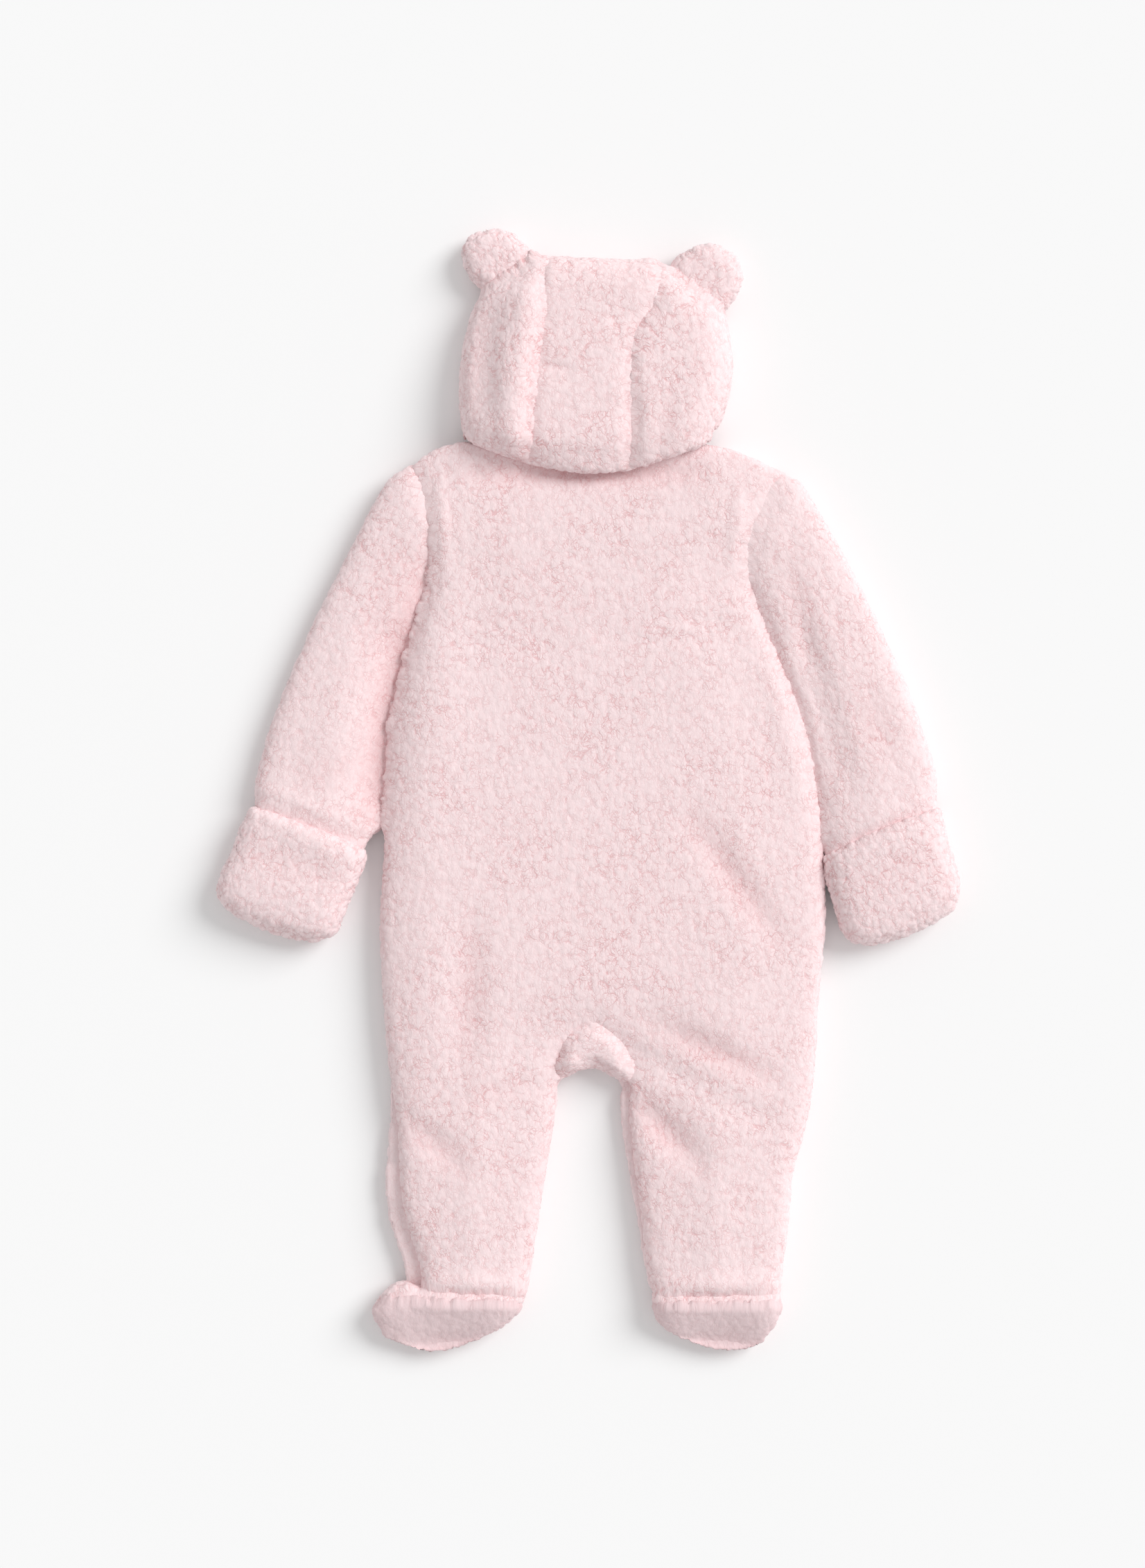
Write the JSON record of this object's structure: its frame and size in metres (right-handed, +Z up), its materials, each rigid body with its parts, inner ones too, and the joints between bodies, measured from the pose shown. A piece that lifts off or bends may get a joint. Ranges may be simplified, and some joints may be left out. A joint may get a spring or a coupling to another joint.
{
  "type": "hooded footed sherpa pramsuit",
  "caption": "Baby pramsuit in curly sherpa, laid flat with its back up: hood with round ears, sleeves with fold-over mitts, closed feet.",
  "frame": {"origin": "on the floor under the middle of the laid garment's outline", "axes": "+Z up from the floor, +Y to the hood, +X to the wearer's right sleeve, which is on the right of a viewer who looks down on the back"},
  "size_m": [0.4682, 0.7068, 0.0427],
  "materials": {
    "sherpa": "pale pink curly sherpa pile, matt",
    "zip_tape": "pink woven tape with a closed coil",
    "zip_slider": "pink lacquered slider"
  },
  "bodies": {
    "root": {"back": "sherpa", "front_left": "sherpa", "front_right": "sherpa", "gusset": "sherpa", "hood_centre": "sherpa", "hood_side_left": "sherpa", "hood_side_right": "sherpa", "sleeve_left": "sherpa", "mitt_upper_left": "sherpa", "mitt_lower_left": "sherpa", "ear_upper_left": "sherpa", "ear_lower_left": "sherpa", "foot_upper_left": "sherpa", "foot_sole_left": "sherpa", "sleeve_right": "sherpa", "mitt_upper_right": "sherpa", "mitt_lower_right": "sherpa", "ear_upper_right": "sherpa", "ear_lower_right": "sherpa", "foot_upper_right": "sherpa", "foot_sole_right": "sherpa", "zip": "zip_tape", "zip_slider": "zip_slider"}
  },
  "joints": []
}
